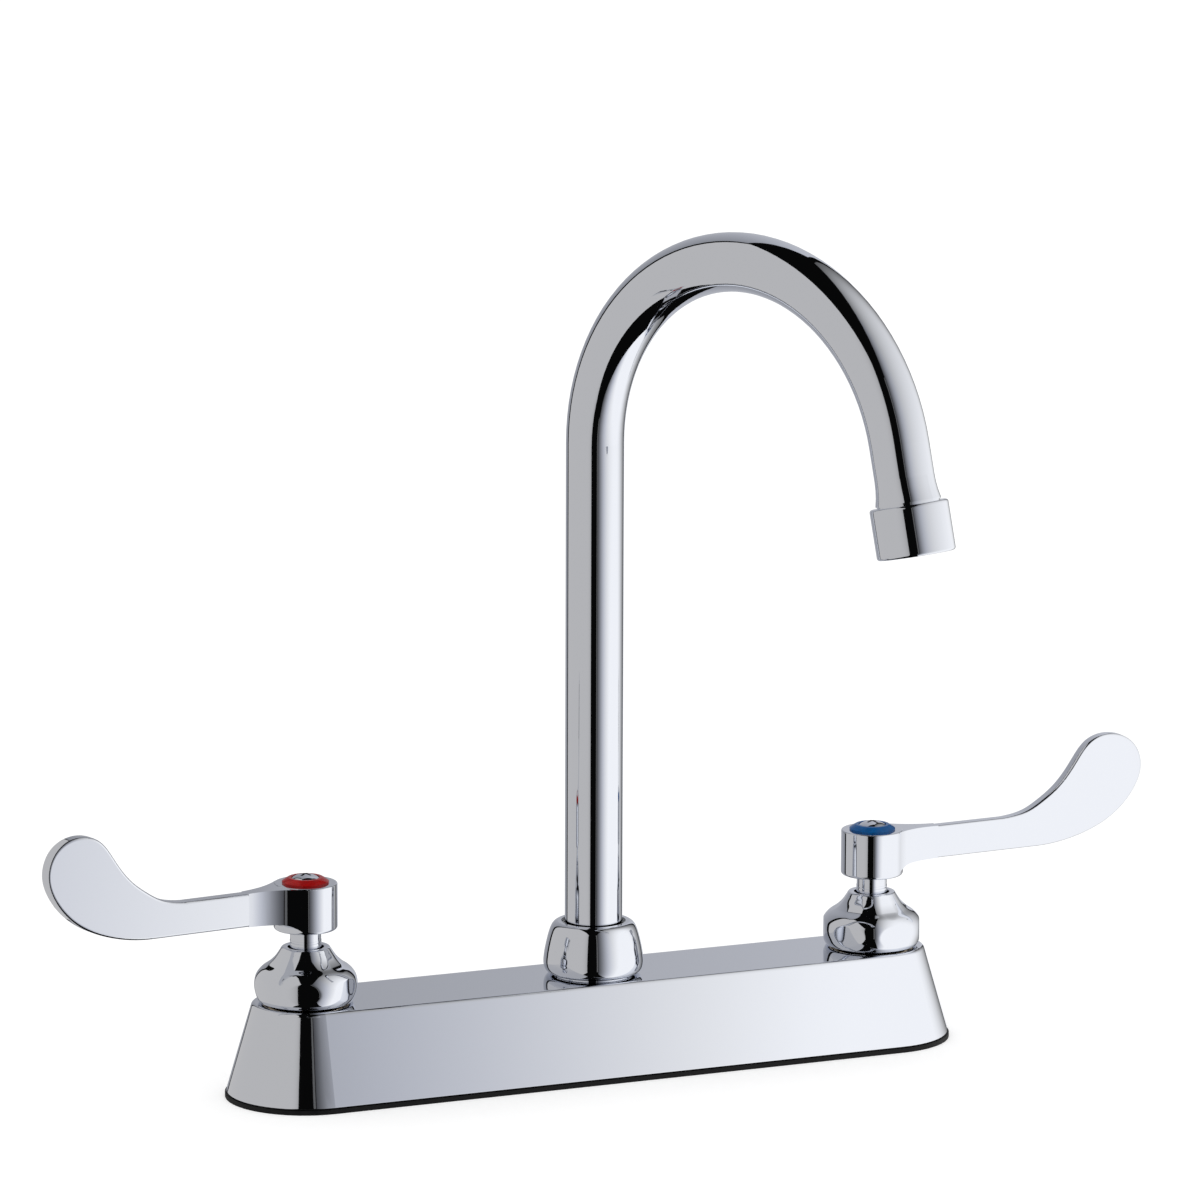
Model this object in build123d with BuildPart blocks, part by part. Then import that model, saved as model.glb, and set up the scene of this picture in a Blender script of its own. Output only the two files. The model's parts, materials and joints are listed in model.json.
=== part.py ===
from build123d import *
import os
from math import atan, cos, degrees, radians, sin, sqrt

# Deck-mount gooseneck faucet: two quarter-turn wrist-blade valves on an
# 8 inch hollow deck body, with a swivelling bent-tube spout between them.
# Millimetres. The origin is the centre of the gasket underside, +Z is up,
# +X runs from the hot valve to the cold valve and -Y is the user's side.

# Deck body and gasket
valve_spacing = 203.2
gasket_thickness = 1.5
gasket_overhang = 0.3
base_radius = 26.2
top_radius = 17.6
body_height = 29.8
deck_wall = 3.0
top_edge_round = 1.5
base_edge_round = 0.6
inlet_boss_radius = 14.0
inlet_thread_radius = 9.5
inlet_thread_length = 10.5
seat_port_radius = 5.0
seat_shelf_thickness = 2.0
gasket_hole_radius = 12.0
waterway_bore_radius = 4.5
waterway_wall = 2.5
waterway_rise = 7.0

# Valve cartridge, stacked upwards from the seat shelf
chamber_radius = 11.0
valve_neck_radius = 12.6
valve_neck_height = 4.7
barrel_bore_radius = 9.0
cartridge_flange_radius = 12.4
cartridge_flange_thickness = 2.0
guide_radius = 7.6
guide_height = 7.0
seat_seal_thickness = 2.0
seal_hole_radius = 6.6
disc_thickness = 3.0
disc_port_inner = 2.6
disc_port_outer = 6.4
disc_port_span = 70.0
drive_flange_thickness = 3.0
thrust_washer_thickness = 1.0
tang_length = 12.0
tang_width = 3.0
tang_depth = 1.5
stop_lug_span = 40.0
stop_lug_depth = 1.6
outlet_window_width = 7.0
outlet_window_height = 8.0
lock_nut_radius = 13.9
lock_nut_skirt = 3.6
lock_nut_ceiling = 2.3
lock_nut_hole_radius = 8.4

# Stem
stem_radius = 5.04
stem_collar_radius = 5.15
stem_collar_height = 3.6
stem_collar_drop = 1.2
collar_groove_rises = (1.7, 2.75)
collar_groove_width = 0.35
collar_groove_depth = 0.35
square_drive = 7.0
square_drive_length = 8.5
o_ring_groove_width = 2.2
stem_o_ring_section = 0.75
cartridge_o_ring_section = 0.8
o_ring_rise = 4.8
clip_thickness = 1.0
clip_radius = 6.6
clip_groove_depth = 0.9
clip_span = 300.0

# Bonnet: a bell with six soft facets, radii with heights above its rim
bonnet_rim_gap = 0.5
bonnet_height = 17.8
bonnet_rim_radius = 15.6
bonnet_belly_radius = 16.75
bonnet_belly_height = 5.0
bonnet_shoulder_radius = 15.9
bonnet_shoulder_height = 9.0
bonnet_waist_radius = 11.6
bonnet_waist_height = 12.5
bonnet_neck_radius = 8.2
bonnet_neck_height = 16.8
bonnet_top_radius = 7.4
bonnet_hole_radius = 5.9
bonnet_hole_depth = 1.6
bonnet_wall = 1.6
bonnet_seat_radius = 11.0
bonnet_facet_distance = 16.3
bonnet_cone_facet_distance = 10.4
bonnet_cone_facet_height = 13.4
bonnet_cone_facet_tilt = 45.0
front_facet_angle = -114.5

# Lever: a vertical blade on a round hub
hub_radius = 10.4
hub_rise = 24.3
hub_height = 15.3
hub_bore_depth = 1.9
hub_bottom_round = 1.0
hub_top_round = 0.5
blade_thickness = 4.4
blade_edge_round = 0.9
root_blend_radius = 27.0
root_foot_height = 1.0
root_under_reach = 14.8
lever_reach = 98.5
arm_underside = 3.3
arm_top = 14.4
arm_under_end = (38.5, 5.0)
arm_top_end = (52.0, 15.6)
paddle_under = ((23.5, 7.5), (11.0, 13.3), (2.9, 21.7))
paddle_tip_height = 30.6
paddle_over = (
    (3.2, 38.3), (12.0, 41.8), (19.3, 39.7), (24.9, 33.0), (31.5, 24.8), (38.0, 19.9), (44.0, 16.9),
)
paddle_end_heading = (-1, -0.03)
paddle_end_pulls = (1, 0.5)
hot_lever_turn = 12.5
cold_lever_turn = 2.0
lever_travel = 90.0

# Index ring and lever screw
index_ring_radius = 7.66
index_ring_height = 1.8
index_ring_lip = 0.5
index_ring_crest_radius = 5.6
index_ring_haunch = (1.0, 1.2)
index_flange_thickness = 0.6
screw_head_radius = 4.5
screw_head_rim = 0.9
screw_dome_height = 1.4
screw_shank_radius = 1.95
screw_shank_length = 14.0
screw_hole_depth = 15.0
recess_length = 4.4
recess_width = 0.9
recess_depth = 1.2
recess_turn = 20.0

# Spout tube and its swivel
tube_radius = 9.5
tube_wall = 1.3
riser_height = 177.5
bend_radius = 65.3
bend_angle = 167.4
outlet_straight = 18.4
outlet_flare_length = 8.0
outlet_flare_radius = 10.4
outlet_flare_edge = 0.4
spout_turn = -65.9
spindle_radius = 10.3
spindle_bore_radius = 7.2
spindle_length = 13.9
tube_socket_depth = 6.3
spout_chamber_radius = 8.5
spout_chamber_depth = 8.5
spout_boss_radius = 13.2
neck_thread_radius = 12.4
neck_height = 12.6
spout_o_ring_section = 0.85
spout_o_ring_rises = (2.3, 5.6)
slip_ring_radius = 12.2
slip_ring_height = 2.3
slip_ring_split = 2.0

# Spout nut: a domed round nut with an open top
nut_foot_radius = 13.9
nut_rise = 0.5
nut_height = 17.2
nut_dome = ((16.0, 1.1), (16.5, 2.8), (16.4, 5.5), (15.5, 10.4), (14.4, 14.3), (13.5, 16.1))
nut_hole_radius = 10.6
nut_top_flat = 1.3

# Aerator
joint_line = 0.5
aerator_radius = 12.5
aerator_length = 16.2
aerator_thread_radius = 10.0
aerator_thread_length = 6.4
aerator_cavity_radius = 10.7
aerator_lip_radius = 9.0
aerator_lip_height = 1.2
aerator_edge_round = 0.9
aerator_washer_thickness = 1.5
aerator_washer_hole = 7.0
aerator_insert_length = 6.2
aerator_insert_holes = 8
aerator_insert_hole_radius = 1.2
aerator_insert_hole_circle = 4.6
aerator_screen_thickness = 0.8
screen_hole_radius = 0.75
screen_hole_pitch = 2.2
screen_hole_rows = 7

# Clearances
running_gap = 0.05
axial_gap = 0.10
thread_gap = 0.05
cover_gap = 0.3
stop_spare_angle = 2.0

# Heights and places that follow from the sizes above
valve_offset = valve_spacing / 2
deck_top = gasket_thickness + body_height
body_taper = degrees(atan((base_radius - top_radius) / body_height))
inlet_top = gasket_thickness + inlet_thread_length
seat_shelf = inlet_top + seat_shelf_thickness
waterway_height = seat_shelf + waterway_rise
valve_neck_top = deck_top + valve_neck_height
fixed_disc_base = seat_shelf + seat_seal_thickness
moving_disc_base = fixed_disc_base + disc_thickness + running_gap
drive_base = moving_disc_base + disc_thickness
drive_top = drive_base + drive_flange_thickness
washer_base = drive_top + running_gap
cartridge_ceiling = washer_base + thrust_washer_thickness + running_gap
barrel_radius = chamber_radius - thread_gap
flange_top = valve_neck_top + cartridge_flange_thickness
guide_top = flange_top + guide_height
valve_o_ring_height = cartridge_ceiling + o_ring_rise
bonnet_rim = deck_top + bonnet_rim_gap
bonnet_top = bonnet_rim + bonnet_height
stem_collar_base = bonnet_top - stem_collar_drop
hub_bottom = deck_top + hub_rise
hub_top = hub_bottom + hub_height
square_drive_base = hub_bottom + hub_bore_depth
stem_bore_radius = stem_radius + running_gap
lock_nut_top = flange_top + lock_nut_ceiling
clip_base = guide_top + axial_gap
drive_end = square_drive_base + square_drive_length
nut_bottom = deck_top + nut_rise
nut_top = nut_bottom + nut_height
neck_top = deck_top + neck_height
spindle_top = neck_top + axial_gap
spindle_base = spindle_top - spindle_length
spindle_seat = spindle_base - axial_gap
tube_seat = neck_top - tube_socket_depth
spout_chamber_floor = waterway_height - spout_chamber_depth
bend_start = deck_top + riser_height
spout_bore_radius = spindle_radius + running_gap
slip_ring_top = spindle_top + slip_ring_height
nut_ceiling = slip_ring_top + axial_gap
ring_screw_seat = hub_top + index_flange_thickness

spout_plane = Plane.XZ.rotated((0, 0, spout_turn))
spout_ahead = Vector(cos(radians(spout_turn)), sin(radians(spout_turn)), 0)
bend_end_turn = radians(bend_angle)
outlet_direction = spout_ahead * sin(bend_end_turn) + Vector(0, 0, cos(bend_end_turn))
bend_end = (
    spout_ahead * (bend_radius * (1 - cos(bend_end_turn)))
    + Vector(0, 0, bend_start + bend_radius * sin(bend_end_turn))
)
tube_end = bend_end + outlet_direction * outlet_straight
outlet_side = spout_ahead * (-cos(bend_end_turn)) + Vector(0, 0, sin(bend_end_turn))
outlet_axis = Axis(tube_end, outlet_direction)

os.makedirs("parts", exist_ok=True)


def save(piece, label):
    """Label one finished piece and write its file."""
    piece.part.label = label
    export_step(piece.part, f"parts/{label}.step")


def outlet_plane(distance):
    """Plane square to the outlet, this far past the end of the tube."""
    return Plane(tube_end + outlet_direction * distance, x_dir=outlet_side, z_dir=outlet_direction)


def outlet_section():
    """Plane through the outlet axis: local x is the radius, local y runs out of the spout."""
    return Plane(tube_end, x_dir=outlet_side, z_dir=outlet_side.cross(outlet_direction))


def valve_section(x):
    """Plane through a valve axis: local x is the radius, local y the height."""
    return Plane((x, 0, 0), x_dir=(1, 0, 0), z_dir=(0, -1, 0))


def turned(points, plane, axis):
    """Solid of revolution from a closed profile of (radius, height) points."""
    with BuildPart() as piece:
        with BuildSketch(plane):
            with BuildLine():
                Polyline(*points, close=True)
            make_face()
        revolve(axis=axis)
    return piece


def ring_sector(inner, outer, middle, span):
    """Sketch of a ring sector round the origin, centred on the angle middle."""
    start = middle - span / 2
    with BuildSketch() as sector:
        with BuildLine():
            near = CenterArc((0, 0), inner, start, span)
            far = CenterArc((0, 0), outer, start, span)
            Line(near @ 0, far @ 0)
            Line(near @ 1, far @ 1)
        make_face()
    return sector.sketch


# Deck gasket: a rubber pad under the whole body, open at the two inlets
with BuildPart() as deck_gasket:
    with BuildSketch():
        SlotCenterToCenter(valve_spacing, 2 * (base_radius + gasket_overhang))
        with GridLocations(valve_spacing, 0, 2, 1):
            Circle(gasket_hole_radius, mode=Mode.SUBTRACT)
    extrude(amount=gasket_thickness)
save(deck_gasket, "deck_gasket")


# Deck body: a tapered hollow casting with bosses, necks and the waterway
with BuildPart() as deck_body:
    with BuildSketch(Plane.XY.offset(gasket_thickness)):
        SlotCenterToCenter(valve_spacing, 2 * base_radius)
    extrude(amount=body_height, taper=body_taper)
    fillet(deck_body.edges().group_by(Axis.Z)[-1], top_edge_round)
    fillet(deck_body.edges().group_by(Axis.Z)[0], base_edge_round)
    with BuildSketch(Plane.XY.offset(gasket_thickness)):
        SlotCenterToCenter(valve_spacing, 2 * (base_radius - deck_wall))
    extrude(amount=body_height - deck_wall, taper=body_taper, mode=Mode.SUBTRACT)
    with BuildSketch(Plane.XY.offset(gasket_thickness)):
        with GridLocations(valve_spacing, 0, 2, 1):
            Circle(inlet_boss_radius)
    extrude(amount=body_height - deck_wall / 2)
    with BuildSketch(Plane.XY.offset(spout_chamber_floor - deck_wall)):
        Circle(spout_boss_radius)
    extrude(until=Until.NEXT)
    with BuildSketch(Plane.YZ.offset(-valve_offset)):
        with Locations((0, waterway_height)):
            Circle(waterway_bore_radius + waterway_wall)
    extrude(amount=valve_spacing)
    with BuildSketch(Plane.XY.offset(deck_top - deck_wall / 2)):
        with GridLocations(valve_spacing, 0, 2, 1):
            Circle(valve_neck_radius)
    extrude(amount=valve_neck_height + deck_wall / 2)
    with BuildSketch(Plane.XY.offset(deck_top - deck_wall / 2)):
        Circle(spout_boss_radius)
    extrude(amount=nut_bottom - deck_top + deck_wall / 2 - axial_gap)
    with BuildSketch(Plane.XY.offset(deck_top)):
        Circle(neck_thread_radius)
    extrude(amount=neck_top - deck_top)
    with BuildSketch(Plane.XY.offset(neck_top)):
        Circle(spout_bore_radius)
    extrude(amount=spindle_seat - neck_top, mode=Mode.SUBTRACT)
    with BuildSketch(Plane.XY.offset(spindle_seat)):
        Circle(spout_chamber_radius)
    extrude(amount=spout_chamber_floor - spindle_seat, mode=Mode.SUBTRACT)
    for floor, ceiling, bore in (
        (gasket_thickness, inlet_top, inlet_thread_radius),
        (inlet_top, seat_shelf, seat_port_radius),
        (seat_shelf, valve_neck_top, chamber_radius),
    ):
        with BuildSketch(Plane.XY.offset(floor)):
            with GridLocations(valve_spacing, 0, 2, 1):
                Circle(bore)
        extrude(amount=ceiling - floor, mode=Mode.SUBTRACT)
    with BuildSketch(Plane.YZ.offset(-valve_offset)):
        with Locations((0, waterway_height)):
            Circle(waterway_bore_radius)
    extrude(amount=valve_spacing, mode=Mode.SUBTRACT)
save(deck_body, "deck_body")


def make_seat_seal(x):
    """Rubber seal between the seat shelf and the fixed ceramic disc."""
    with BuildPart() as seat_seal:
        with BuildSketch(Plane((x, 0, seat_shelf))):
            Circle(barrel_bore_radius - running_gap)
            Circle(seal_hole_radius, mode=Mode.SUBTRACT)
        extrude(amount=seat_seal_thickness)
    return seat_seal


def make_disc(x, base, port_angle, slotted):
    """Ceramic disc with two ports; the moving one is slotted for the stem tang."""
    with BuildPart() as disc:
        with BuildSketch(Plane((x, 0, base))):
            Circle(barrel_bore_radius - running_gap)
        extrude(amount=disc_thickness)
        for side in (0, 180):
            with BuildSketch(Plane((x, 0, base))):
                add(ring_sector(disc_port_inner, disc_port_outer, port_angle + side, disc_port_span))
            extrude(amount=disc_thickness, mode=Mode.SUBTRACT)
        if slotted:
            with BuildSketch(Plane((x, 0, base + disc_thickness))):
                with Locations(Location((0, 0), port_angle + 90)):
                    Rectangle(tang_length + 2 * running_gap, tang_width + 2 * running_gap)
            extrude(amount=-(tang_depth + running_gap), mode=Mode.SUBTRACT)
    return disc


def make_cartridge_body(x, inward, stop_angle, stop_span):
    """Brass barrel that holds the discs, with outlet windows, a stop rib and a stem guide."""
    groove_root = barrel_radius - 2 * cartridge_o_ring_section
    profile = [
        (barrel_bore_radius, fixed_disc_base),
        (barrel_radius, fixed_disc_base),
        (barrel_radius, valve_o_ring_height - o_ring_groove_width / 2),
        (groove_root, valve_o_ring_height - o_ring_groove_width / 2),
        (groove_root, valve_o_ring_height + o_ring_groove_width / 2),
        (barrel_radius, valve_o_ring_height + o_ring_groove_width / 2),
        (barrel_radius, valve_neck_top),
        (cartridge_flange_radius, valve_neck_top),
        (cartridge_flange_radius, flange_top),
        (guide_radius, flange_top),
        (guide_radius, guide_top),
        (stem_bore_radius, guide_top),
        (stem_bore_radius, cartridge_ceiling),
        (barrel_bore_radius, cartridge_ceiling),
    ]
    barrel = turned(profile, valve_section(x), Axis((x, 0, 0), (0, 0, 1)))
    with BuildPart() as cartridge_body:
        add(barrel.part)
        with BuildSketch(Plane((x, 0, drive_base))):
            inner = barrel_bore_radius - stop_lug_depth + running_gap
            add(ring_sector(inner, barrel_bore_radius + running_gap, stop_angle, stop_span))
        extrude(amount=drive_flange_thickness)
        with BuildSketch(Plane.YZ.offset(x)):
            with Locations((0, waterway_height)):
                Rectangle(outlet_window_width, outlet_window_height)
        extrude(amount=inward * chamber_radius, mode=Mode.SUBTRACT)
    return cartridge_body


def make_stem(x, angle):
    """Brass stem: tang and stop flange below, O-ring and clip grooves, square drive on top."""
    groove_root = stem_radius - 2 * stem_o_ring_section - running_gap
    groove_low = valve_o_ring_height - o_ring_groove_width / 2
    groove_high = valve_o_ring_height + o_ring_groove_width / 2
    clip_root = stem_radius - clip_groove_depth
    flange_radius = barrel_bore_radius - stop_lug_depth
    ring_root = stem_collar_radius - collar_groove_depth
    collar_grooves = []
    for rise in collar_groove_rises:
        ring_low = stem_collar_base + rise
        ring_high = ring_low + collar_groove_width
        collar_grooves += [(stem_collar_radius, ring_low), (ring_root, ring_low)]
        collar_grooves += [(ring_root, ring_high), (stem_collar_radius, ring_high)]
    profile = [
        (0, drive_base),
        (flange_radius, drive_base),
        (flange_radius, drive_top),
        (stem_radius, drive_top),
        (stem_radius, groove_low),
        (groove_root, groove_low),
        (groove_root, groove_high),
        (stem_radius, groove_high),
        (stem_radius, clip_base),
        (clip_root, clip_base),
        (clip_root, clip_base + clip_thickness),
        (stem_radius, clip_base + clip_thickness),
        (stem_radius, stem_collar_base),
        (stem_collar_radius, stem_collar_base),
        *collar_grooves,
        (stem_collar_radius, stem_collar_base + stem_collar_height),
        (stem_radius, stem_collar_base + stem_collar_height),
        (stem_radius, square_drive_base),
        (0, square_drive_base),
    ]
    shaft = turned(profile, valve_section(x), Axis((x, 0, 0), (0, 0, 1)))
    with BuildPart() as stem:
        add(shaft.part)
        with BuildSketch(Plane((x, 0, drive_base))):
            with Locations(Location((0, 0), angle + 90)):
                Rectangle(tang_length, tang_width)
        extrude(amount=-tang_depth)
        with BuildSketch(Plane((x, 0, drive_base))):
            outer = barrel_bore_radius - running_gap
            add(ring_sector(flange_radius - stop_lug_depth, outer, angle, stop_lug_span))
        extrude(amount=drive_flange_thickness)
        with BuildSketch(Plane((x, 0, square_drive_base))):
            with Locations(Location((0, 0), angle)):
                Rectangle(square_drive, square_drive)
        extrude(amount=square_drive_length)
        with BuildSketch(Plane((x, 0, drive_end))):
            Circle(screw_shank_radius + running_gap)
        extrude(amount=-screw_hole_depth, mode=Mode.SUBTRACT)
    return stem


def make_o_ring(places, ring_radius, section):
    """Rubber ring, or a set of them, lying flat at each place."""
    with BuildPart() as o_ring:
        with Locations(*places):
            Torus(ring_radius, section)
    return o_ring


def make_lock_nut(x):
    """Union nut that clamps the cartridge flange to the neck."""
    skirt_base = valve_neck_top - lock_nut_skirt
    bore = valve_neck_radius + thread_gap
    profile = [
        (bore, skirt_base),
        (lock_nut_radius, skirt_base),
        (lock_nut_radius, lock_nut_top),
        (lock_nut_hole_radius, lock_nut_top),
        (lock_nut_hole_radius, flange_top),
        (bore, flange_top),
    ]
    return turned(profile, valve_section(x), Axis((x, 0, 0), (0, 0, 1)))


def make_retaining_clip(x, lug_angle):
    """Open snap ring in the stem's upper groove."""
    with BuildPart() as clip:
        with BuildSketch(Plane((x, 0, clip_base))):
            add(ring_sector(stem_radius - clip_groove_depth, clip_radius, lug_angle, clip_span))
        extrude(amount=clip_thickness)
    return clip


def make_bonnet(x, facet_angle):
    """Chrome bell over the valve: curved outside, stepped inside, six soft facets."""
    inner_skirt = lock_nut_radius + cover_gap
    inner_neck = guide_radius + cover_gap
    belly_heading = (0.45, 1)
    cone_heading = (-0.6, 1)
    with BuildPart() as bonnet:
        with BuildSketch(valve_section(x)):
            with BuildLine():
                foot = Line((inner_skirt, bonnet_rim), (bonnet_rim_radius, bonnet_rim))
                belly = Spline(
                    foot @ 1,
                    (bonnet_belly_radius, bonnet_rim + bonnet_belly_height),
                    (bonnet_shoulder_radius, bonnet_rim + bonnet_shoulder_height),
                    tangents=(belly_heading, cone_heading),
                )
                cone = Spline(
                    belly @ 1,
                    (bonnet_waist_radius, bonnet_rim + bonnet_waist_height),
                    (bonnet_neck_radius, bonnet_rim + bonnet_neck_height),
                    tangents=(cone_heading, cone_heading),
                )
                Polyline(
                    cone @ 1,
                    (bonnet_top_radius, bonnet_top),
                    (bonnet_hole_radius, bonnet_top),
                    (bonnet_hole_radius, bonnet_top - bonnet_hole_depth),
                    (inner_neck, bonnet_top - bonnet_hole_depth - bonnet_wall),
                    (inner_neck, lock_nut_top + bonnet_wall),
                    (bonnet_seat_radius, lock_nut_top),
                    (inner_skirt, lock_nut_top),
                    foot @ 0,
                )
            make_face()
        revolve(axis=Axis((x, 0, 0), (0, 0, 1)))
        for step in range(6):
            angle = facet_angle + 60 * step
            outward = Vector(cos(radians(angle)), sin(radians(angle)), 0)
            face_point = Vector(x, 0, bonnet_rim) + outward * bonnet_facet_distance
            split(bisect_by=Plane(face_point, z_dir=-outward))
            tilt = radians(bonnet_cone_facet_tilt)
            cone_normal = outward * cos(tilt) + Vector(0, 0, sin(tilt))
            cone_middle = Vector(x, 0, bonnet_rim + bonnet_cone_facet_height)
            cone_point = cone_middle + outward * bonnet_cone_facet_distance
            split(bisect_by=Plane(cone_point, z_dir=-cone_normal))
    return bonnet


def make_lever_root(blade_plane):
    """Web between hub and blade: wide at the hub, narrowing to the blade in two hollow curves."""
    centre_side = blade_thickness / 2 + root_blend_radius
    centre_ahead = sqrt((hub_radius + root_blend_radius)**2 - centre_side**2)
    hub_share = hub_radius / (hub_radius + root_blend_radius)
    hub_touch = (centre_ahead * hub_share, centre_side * hub_share)
    blade_touch = (centre_ahead, blade_thickness / 2)
    under_slope = (arm_under_end[1] - arm_underside) / (lever_reach - arm_under_end[0])
    top_slope = (arm_top_end[1] - arm_top) / (lever_reach - arm_top_end[0])
    with BuildPart() as root:
        with BuildSketch(Plane(blade_plane.origin, x_dir=blade_plane.x_dir, z_dir=(0, 0, 1))):
            with BuildLine():
                left = RadiusArc(hub_touch, blade_touch, -root_blend_radius)
                right = RadiusArc(
                    (hub_touch[0], -hub_touch[1]), (blade_touch[0], -blade_touch[1]), root_blend_radius
                )
                Line(left @ 1, right @ 1)
                Polyline(left @ 0, (0, 0), right @ 0)
            make_face()
        extrude(amount=hub_height)
        with BuildSketch(blade_plane):
            with BuildLine():
                Polyline(
                    (hub_radius, root_foot_height),
                    (0, root_foot_height),
                    (0, hub_height),
                    (centre_ahead, arm_top + top_slope * centre_ahead),
                    (centre_ahead, arm_underside + under_slope * centre_ahead),
                    (root_under_reach, arm_underside + under_slope * root_under_reach),
                )
                Spline(
                    (root_under_reach, arm_underside + under_slope * root_under_reach),
                    (hub_radius, root_foot_height),
                    tangents=((-1, -under_slope), (0, -1)),
                )
            make_face()
        revolve(axis=Axis(blade_plane.origin, (0, 0, 1)), mode=Mode.INTERSECT)
    return root


def make_lever(x, angle):
    """Wrist blade: a round hub and a vertical paddle that sweeps up at its tip."""
    ahead = Vector(cos(radians(angle)), sin(radians(angle)), 0)
    side = ahead.cross(Vector(0, 0, 1))
    blade_plane = Plane((x, 0, hub_bottom), x_dir=ahead, z_dir=side)
    under_points = [(lever_reach - back, height) for back, height in (arm_under_end, *paddle_under)]
    over_points = [(lever_reach - back, height) for back, height in (*paddle_over, arm_top_end)]
    web = make_lever_root(blade_plane)
    with BuildPart() as lever:
        with BuildSketch(blade_plane):
            with BuildLine():
                root = Line((0, arm_top), (0, arm_underside))
                under = Line(root @ 1, under_points[0])
                paddle = Spline(
                    *under_points,
                    (lever_reach, paddle_tip_height),
                    *over_points,
                    tangents=(under % 1, paddle_end_heading),
                    tangent_scalars=paddle_end_pulls,
                )
                Line(paddle @ 1, root @ 0)
            make_face()
        extrude(amount=blade_thickness / 2, both=True)
        for face in (lever.faces().sort_by(Axis(blade_plane.origin, side))[0],
                     lever.faces().sort_by(Axis(blade_plane.origin, side))[-1]):
            fillet(face.edges().filter_by(lambda edge: edge.length > hub_height), blade_edge_round)
        with BuildSketch(Plane((x, 0, hub_bottom))):
            Circle(hub_radius)
        extrude(amount=hub_height)
        hub_top_edges = lever.edges().filter_by(GeomType.CIRCLE).filter_by_position(
            Axis.Z, hub_top - axial_gap, hub_top + axial_gap
        )
        fillet(hub_top_edges, hub_top_round)
        fillet(lever.edges().group_by(Axis.Z)[0], hub_bottom_round)
        add(web.part)
        with BuildSketch(Plane((x, 0, hub_bottom))):
            Circle(stem_radius + running_gap)
        extrude(amount=square_drive_base - hub_bottom + axial_gap, mode=Mode.SUBTRACT)
        with BuildSketch(Plane((x, 0, square_drive_base))):
            with Locations(Location((0, 0), angle)):
                Rectangle(square_drive + 2 * running_gap, square_drive + 2 * running_gap)
        extrude(amount=square_drive_length + axial_gap, mode=Mode.SUBTRACT)
        with BuildSketch(Plane((x, 0, hub_top))):
            Circle(screw_shank_radius + 2 * running_gap)
        extrude(amount=drive_end - hub_top, mode=Mode.SUBTRACT)
    return lever


def make_index_ring(x):
    """Coloured ring round the screw head, clamped by a thin flange under the head."""
    bore = screw_head_radius + 2 * running_gap
    flange_bore = screw_shank_radius + 2 * running_gap
    with BuildPart() as index_ring:
        with BuildSketch(valve_section(x)):
            with BuildLine():
                base = Line((flange_bore, hub_top), (index_ring_radius, hub_top))
                lip = Line(base @ 1, (index_ring_radius, hub_top + index_ring_lip))
                haunch_in, haunch_up = index_ring_haunch
                crown = ThreePointArc(
                    lip @ 1,
                    (index_ring_radius - haunch_in, hub_top + haunch_up),
                    (index_ring_crest_radius, hub_top + index_ring_height),
                )
                Polyline(
                    crown @ 1,
                    (bore, hub_top + index_ring_height),
                    (bore, ring_screw_seat),
                    (flange_bore, ring_screw_seat),
                    base @ 0,
                )
            make_face()
        revolve(axis=Axis((x, 0, 0), (0, 0, 1)))
    return index_ring


def make_lever_screw(x, angle):
    """Oval-head screw with a cross recess that holds the lever on the stem."""
    head_edge = ring_screw_seat + screw_head_rim
    head_top = head_edge + screw_dome_height
    dome_radius = (screw_head_radius**2 + screw_dome_height**2) / (2 * screw_dome_height)
    with BuildPart() as lever_screw:
        with BuildSketch(valve_section(x)):
            with BuildLine():
                shank = Polyline(
                    (0, ring_screw_seat - screw_shank_length),
                    (screw_shank_radius, ring_screw_seat - screw_shank_length),
                    (screw_shank_radius, ring_screw_seat),
                    (screw_head_radius, ring_screw_seat),
                    (screw_head_radius, head_edge),
                )
                dome = RadiusArc(shank @ 1, (0, head_top), -dome_radius)
                Line(dome @ 1, shank @ 0)
            make_face()
        revolve(axis=Axis((x, 0, 0), (0, 0, 1)))
        with BuildSketch(Plane((x, 0, head_top))):
            with Locations(Location((0, 0), angle), Location((0, 0), angle + 90)):
                Rectangle(recess_length, recess_width)
        extrude(amount=-recess_depth, mode=Mode.SUBTRACT)
    return lever_screw


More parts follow.
